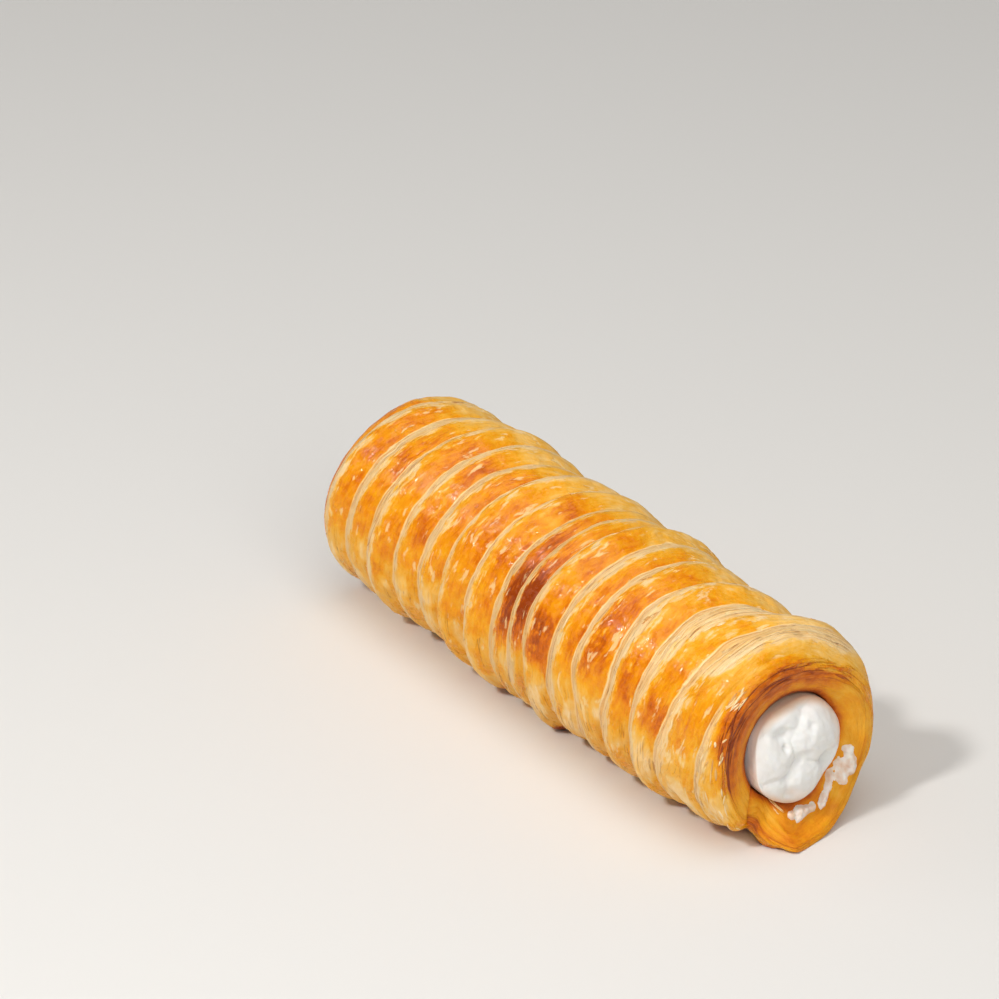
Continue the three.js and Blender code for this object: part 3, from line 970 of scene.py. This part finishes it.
# %% [markdown]
# ## Materials
# All materials are built from nodes. A small class keeps the node code short: most of its methods
# make one node, set its values, join its inputs and hand back its output.


# %% Node helpers
def colour(code):
    """A colour as it looks on screen, such as F0A010, turned into the linear light that nodes use."""
    channels = [int(code[i:i + 2], 16) / 255 for i in (0, 2, 4)]
    return [c / 12.92 if c <= 0.04045 else ((c + 0.055) / 1.055) ** 2.4 for c in channels] + [1]


class Nodes:
    """Short names for making and joining the nodes of one material."""

    def __init__(self, name):
        self.material = bpy.data.materials.new(name)
        self.material.use_nodes = True
        self.tree = self.material.node_tree
        self.shader = self.tree.nodes["Principled BSDF"]

    def put(self, socket, value):
        """Joins a node to a socket, or sets a colour or a number on it."""
        if isinstance(value, bpy.types.NodeSocket):
            self.tree.links.new(value, socket)
        elif isinstance(value, str):
            socket.default_value = colour(value)
        else:
            socket.default_value = value

    def shade(self, name, value):
        """The same for one of the shader's own sockets."""
        self.put(self.shader.inputs[name], value)

    def scatter(self, weight, radius, reach):
        """Lets light go in and come out again nearby, with its reach in millimetres."""
        self.shade("Subsurface Weight", weight)
        self.shade("Subsurface Radius", radius)
        self.shade("Subsurface Scale", reach * MM)

    def math(self, kind, a, b=0.0):
        node = self.tree.nodes.new("ShaderNodeMath")
        node.operation = kind
        self.put(node.inputs[0], a)
        self.put(node.inputs[1], b)
        return node.outputs[0]

    def times(self, first, *others):
        for other in others:
            first = self.math("MULTIPLY", first, other)
        return first

    def plus(self, a, b):
        return self.math("ADD", a, b)

    def smooth(self, value, low, high, to_low=0.0, to_high=1.0):
        """Goes softly from to_low to to_high while the value goes from low to high."""
        node = self.tree.nodes.new("ShaderNodeMapRange")
        node.interpolation_type = "SMOOTHSTEP"
        for name, given in zip(("Value", "From Min", "From Max", "To Min", "To Max"),
                               (value, low, high, to_low, to_high)):
            self.put(node.inputs[name], given)
        return node.outputs["Result"]

    def attribute(self, name):
        node = self.tree.nodes.new("ShaderNodeAttribute")
        node.attribute_name = name
        return node.outputs

    def object_place(self):
        """The place in the space of the piece."""
        return self.tree.nodes.new("ShaderNodeTexCoord").outputs["Object"]

    def three(self, name):
        """The three numbers of an attribute."""
        split = self.tree.nodes.new("ShaderNodeSeparateXYZ")
        self.put(split.inputs[0], self.attribute(name)["Vector"])
        return split.outputs

    def noise(self, u, v, w, detail, roughness):
        """Noise between 0 and 1 that changes about once in each unit of u, v and w."""
        join = self.tree.nodes.new("ShaderNodeCombineXYZ")
        for socket, value in zip(join.inputs, (u, v, w)):
            self.put(socket, value)
        return self.noise_at(join.outputs[0], 1.0, detail, roughness)

    def noise_at(self, vector, scale, detail=2, roughness=0.5):
        """Noise between 0 and 1 in space."""
        node = self.tree.nodes.new("ShaderNodeTexNoise")
        self.put(node.inputs["Vector"], vector)
        self.put(node.inputs["Scale"], scale)
        self.put(node.inputs["Detail"], detail)
        self.put(node.inputs["Roughness"], roughness)
        return node.outputs["Fac"]

    def ramp(self, value, stops):
        """A scale of colours."""
        node = self.tree.nodes.new("ShaderNodeValToRGB")
        elements = node.color_ramp.elements
        while len(elements) < len(stops):
            elements.new(0.5)
        for element, (position, code) in zip(elements, stops):
            element.position = position
            element.color = colour(code)
        self.put(node.inputs["Fac"], value)
        return node.outputs["Color"]

    def blend_value(self, share, a, b):
        """A number that goes from a to b with a share."""
        node = self.tree.nodes.new("ShaderNodeMix")
        self.put(node.inputs["Factor"], share)
        self.put(node.inputs[2], a)
        self.put(node.inputs[3], b)
        return node.outputs[0]

    def blend(self, share, a, b):
        """A colour that goes from a to b with a share."""
        node = self.tree.nodes.new("ShaderNodeMix")
        node.data_type = "RGBA"
        self.put(node.inputs["Factor"], share)
        self.put(node.inputs[6], a)
        self.put(node.inputs[7], b)
        return node.outputs[2]

    def bump(self, height, distance):
        """Bump from a height, where 1 stands for a distance in millimetres."""
        node = self.tree.nodes.new("ShaderNodeBump")
        node.inputs["Distance"].default_value = distance * MM
        self.put(node.inputs["Height"], height)
        return node.outputs["Normal"]


# %% [markdown]
# ### Where the crust is what
# The material first finds out what each spot is: how far across its ridge it lies, whether it is cut
# edge or egg-washed skin, and how near it is to the rim. All borders are broken up by noise, because
# a baked colour never changes along a clean line. Measures and masks that come out of nodes have names
# that end in an underscore.

# %% Measures in the pastry material
crust = Nodes("baked_pastry")
place_, aside_, up_ = crust.three("winding")
width_, baked_and_shaded_, body_ = crust.three("look")
split_zone_, upper_, rim_ = crust.three("lines")
inside_ = crust.smooth(rim_, -0.3, 0.5)
part_ = crust.math("FRACT", place_)
across_ = crust.times(place_, RIDGE_SPACING)
crust_place = crust.object_place()
grain = crust.noise_at(crust_place, 900)
speckle = crust.noise_at(crust_place, 420, 3, 0.6)
print("nodes that read and measure:", len(crust.tree.nodes))


# %% Noise that is drawn out along the winding
def drawn_out(along, across_scale, around_scale, seed, detail=2, roughness=0.5):
    """Noise on the round tube, so that it has no seam."""
    start = crust.plus(crust.times(along, across_scale), 40.0 * seed)
    aside, up = crust.times(aside_, around_scale), crust.times(up_, around_scale)
    return crust.noise(start, aside, up, detail, roughness)


flow = crust.plus(across_, crust.smooth(drawn_out(across_, 0.1, 0.09, 11), 0.25, 0.75, -0.6, 0.6))
fibres = drawn_out(flow, 0.9, 0.2, 1, 3, 0.6)
threads = drawn_out(flow, 2.6, 0.55, 4)
leaves = drawn_out(across_, 2.0, 0.05, 2, 3, 0.65)
ragged = drawn_out(across_, 0.45, 0.28, 3, 4, 0.6)

# %% The border of the cut edge, which is soft and streaky
edge_noise = crust.smooth(fibres, 0.3, 0.7, -0.14, 0.14)
edge_noise = crust.plus(edge_noise, crust.smooth(ragged, 0.3, 0.7, -0.1, 0.1))
past_cut = crust.math("SUBTRACT", part_, crust.plus(width_, edge_noise))
before_crease = crust.smooth(part_, 0.985, 0.955)
crest_ = crust.times(crust.smooth(past_cut, -0.16, 0.2), before_crease)
crest_ = crust.blend_value(body_, 1.0, crest_)
cut_ = crust.smooth(crest_, 0.7, 0.1)
print("nodes so far:", len(crust.tree.nodes))

# %% Lines where thin layers part
# A line is drawn wherever a stretched noise passes its middle value, and a second noise breaks it.
parting = drawn_out(across_, 0.95, 0.03, 6)
broken = crust.smooth(drawn_out(across_, 0.5, 0.3, 8, 3), 0.46, 0.54)
from_parting = crust.math("ABSOLUTE", crust.math("SUBTRACT", parting, 0.5))
splits_ = crust.times(crust.smooth(from_parting, 0.02, 0.005), broken, split_zone_)
ring_noise = drawn_out(rim_, 0.8, 0.06, 15)
from_ring = crust.math("ABSOLUTE", crust.math("SUBTRACT", ring_noise, 0.5))
by_rim = crust.times(crust.smooth(rim_, -3.0, -1.2), crust.smooth(rim_, 1.8, 0.8))
stronger = crust.smooth(upper_, 0, 1, 0.5, 1.0)
rings_ = crust.times(crust.smooth(from_ring, 0.05, 0.012), by_rim, stronger)
print("nodes so far:", len(crust.tree.nodes))

# %% [markdown]
# ### Baked pastry
# The crust has one scale of colour, from white dough that hardly baked, over gold and amber, to brown.
# How far along the scale a spot lies is a sum: the points bring the broad part, the cut edge lowers it,
# and noise in several sizes, drawn out along the winding, makes the streaks and flakes. The broad part
# also holds painted shade, and the creases get a painted shade of their own.

# %% Streaks on the baking scale
spread = crust.smooth(fibres, 0.3, 0.7, -0.075, 0.075)
spread = crust.plus(spread, crust.smooth(threads, 0.3, 0.7, -0.04, 0.04))
spread = crust.times(spread, crust.smooth(inside_, 0.0, 1.0, 1.0, 0.5))
spread = crust.plus(spread, crust.smooth(speckle, 0.3, 0.7, -0.04, 0.04))
spread = crust.times(spread, crust.smooth(crest_, 0, 1, 0.45, 1.0))
bake_and_shade_ = crust.plus(crust.blend_value(crest_, 0.17, baked_and_shaded_), spread)
bake_and_shade_ = crust.plus(bake_and_shade_, crust.times(rings_, 0.18))
print("nodes so far:", len(crust.tree.nodes))

# %% Pastry colour
CRUST_COLOURS = [
    (0.0, "FCE6C2"), (0.14, "F9D394"), (0.3, "F3BE60"), (0.43, "F0AE32"),
    (0.55, "EC9E0E"), (0.67, "E58A03"), (0.8, "CE6600"), (0.95, "943A00"),
]
CUT_COLOURS = [(0.34, "D8984A"), (0.44, "F2B866"), (0.53, "FACE8C"), (0.64, "FDDFAC")]
PALE_BORDER = "FDDFAE"
CREASE_SHADE_COLOUR = "D8924A"
SPLIT_COLOUR = "A2500E"
skin = crust.ramp(bake_and_shade_, CRUST_COLOURS)
cut_colour = crust.ramp(leaves, CUT_COLOURS)
cut_colour = crust.blend(crust.smooth(past_cut, -0.35, -0.1, 0.0, 0.4), cut_colour, PALE_BORDER)
skin = crust.blend(crust.times(cut_, 0.75), skin, cut_colour)
# The creases are tinted a warm darker tone: painted shade in the grooves
crease_shade = crust.smooth(part_, 0.06, 0.0)
skin = crust.blend(crust.times(crease_shade, body_, 0.5), skin, CREASE_SHADE_COLOUR)
skin = crust.blend(crust.times(splits_, 0.65), skin, SPLIT_COLOUR)
print("colours on the baking scale:", len(CRUST_COLOURS))

# %% Loose pale flakes on the amber
FLAKE_COLOUR = "FADBA0"
flake = drawn_out(flow, 0.8, 0.22, 27, 3, 0.6)
flakes_ = crust.times(crust.smooth(flake, 0.6, 0.67), body_)
skin = crust.blend(crust.times(flakes_, 0.6), skin, FLAKE_COLOUR)
crust.shade("Base Color", skin)
print("nodes so far:", len(crust.tree.nodes))

# %% Pastry gloss
glaze_ = crust.times(crust.smooth(bake_and_shade_, 0.36, 0.56), crust.math("SUBTRACT", 1.0, inside_))
shine = crust.times(glaze_, crust.smooth(grain, 0.6, 0.46))
crust.shade("Roughness", crust.smooth(shine, 0.0, 1.0, 0.5, 0.1))
crust.shade("Specular IOR Level", 0.3)
crust.scatter(0.08, (1.0, 0.5, 0.2), 0.8)
print("nodes so far:", len(crust.tree.nodes))

# %% Pastry bump
rise = crust.times(grain, 0.08)
steps = crust.times(crust.math("SUBTRACT", leaves, 0.5), crust.plus(cut_, 0.15))
# Each kind of bump and its height in millimetres, which is negative where it goes in
BUMPS = [
    (threads, 0.07), (steps, 0.6), (fibres, 0.25), (speckle, 0.25),
    (splits_, -0.08), (rings_, -0.2), (flakes_, 0.06),
]
for bumps, depth in BUMPS:
    rise = crust.plus(rise, crust.times(bumps, depth))
crust.shade("Normal", crust.bump(rise, 1.0))
pastry.data.materials.append(crust.material)
print("nodes in the pastry material:", len(crust.tree.nodes))

# %% [markdown]
# ### Whipped cream
# Cream is white because light goes in and comes out again, so it gets strong subsurface scattering
# and only a soft shine. Near its edge, above and below, it is tinted tan: partly a stain from the crust,
# partly painted warm shade.

# %% Cream material
CREAM_WHITES = [(0.3, "EAE8E3"), (0.7, "F2F1ED")]
CREAM_STAIN_AND_SHADE = "DDB488"
whipped = Nodes("whipped_cream")
cream_place = whipped.object_place()
white = whipped.ramp(whipped.noise_at(cream_place, 300), CREAM_WHITES)
# The tan edge tint is partly a stain and partly painted warm shade
stained_and_shaded = whipped.times(whipped.attribute("stain_and_shade")["Fac"], 0.7)
whipped.shade("Base Color", whipped.blend(stained_and_shaded, white, CREAM_STAIN_AND_SHADE))
whipped.shade("Roughness", 0.38)
whipped.scatter(0.4, (1.0, 0.85, 0.7), 0.5)
whipped.shade("Normal", whipped.bump(whipped.noise_at(cream_place, 700, 3), 0.1))
cream.data.materials.append(whipped.material)
print("nodes in the cream material:", len(whipped.tree.nodes))

# %% [markdown]
# ### Smears and flakes
# The smears are thin, so the crust tints them in places. Each loose flake has one shade of its own,
# because some stay pale and others brown.

# %% Smear and flake materials
SMEAR_COLOURS = [(0.35, "E8CBB2"), (0.6, "F8F0E8")]
LEAF_COLOURS = [(0.0, "FBE0B0"), (0.7, "F2C478"), (1.0, "D08838")]
smeared = Nodes("smeared_cream")
smeared.shade("Base Color", smeared.ramp(smeared.noise_at(smeared.object_place(), 500), SMEAR_COLOURS))
smeared.shade("Roughness", 0.3)
smeared.scatter(0.4, (1.0, 0.7, 0.5), 0.6)
smears.data.materials.append(smeared.material)
loose = Nodes("loose_flakes")
loose.shade("Base Color", loose.ramp(loose.attribute("shade")["Fac"], LEAF_COLOURS))
loose.shade("Roughness", 0.45)
flakes.data.materials.append(loose.material)
print("materials:", len(bpy.data.materials))

# %% [markdown]
# ## The stage
# A plain pale floor and soft lights, as in a small studio: a small bright light from the near side,
# which also makes the glints, wider and weaker ones beside and above it, and a pale sky.

# %% Floor
FLOOR_SIZE = 6
FLOOR_DROP = 0.0001
bpy.ops.mesh.primitive_plane_add(size=FLOOR_SIZE, location=(0, 0, -FLOOR_DROP))
floor = bpy.context.object
floor.name = "floor"
paper = Nodes("pale_paper")
paper.shade("Base Color", "E4E1DC")
paper.shade("Roughness", 0.8)
floor.data.materials.append(paper.material)
print("floor:", FLOOR_SIZE, "m wide")

# %% Lights
# Bearing from the near side and height in degrees, distance and size in metres, and power in watts
LIGHTS = {
    "main_light": (12, 47, 0.9, 0.09, 3.7),
    "side_light": (-50, 35, 1.1, 0.6, 0.8),
    "front_light": (75, 38, 1.1, 0.6, 3),
    "top_light": (60, 80, 1.0, 0.7, 3),
}
for name, (bearing, light_height, distance, size, power) in LIGHTS.items():
    data = bpy.data.lights.new(name, "AREA")
    data.size = size
    data.energy = power
    light = bpy.data.objects.new(name, data)
    towards = direction(bearing, light_height)
    light.location = towards * distance
    light.rotation_euler = towards.to_track_quat("Z", "Y").to_euler()
    bpy.context.scene.collection.objects.link(light)
print("lights:", ", ".join(LIGHTS))

# %% Pale sky
SKY_STRENGTH = 0.27
world = bpy.data.worlds.new("studio")
bpy.context.scene.world = world
world.use_nodes = True
sky = world.node_tree.nodes["Background"]
sky.inputs["Color"].default_value = (1, 1, 1, 1)
sky.inputs["Strength"].default_value = SKY_STRENGTH
bpy.context.scene.view_settings.view_transform = "Standard"
print("sky strength:", SKY_STRENGTH)
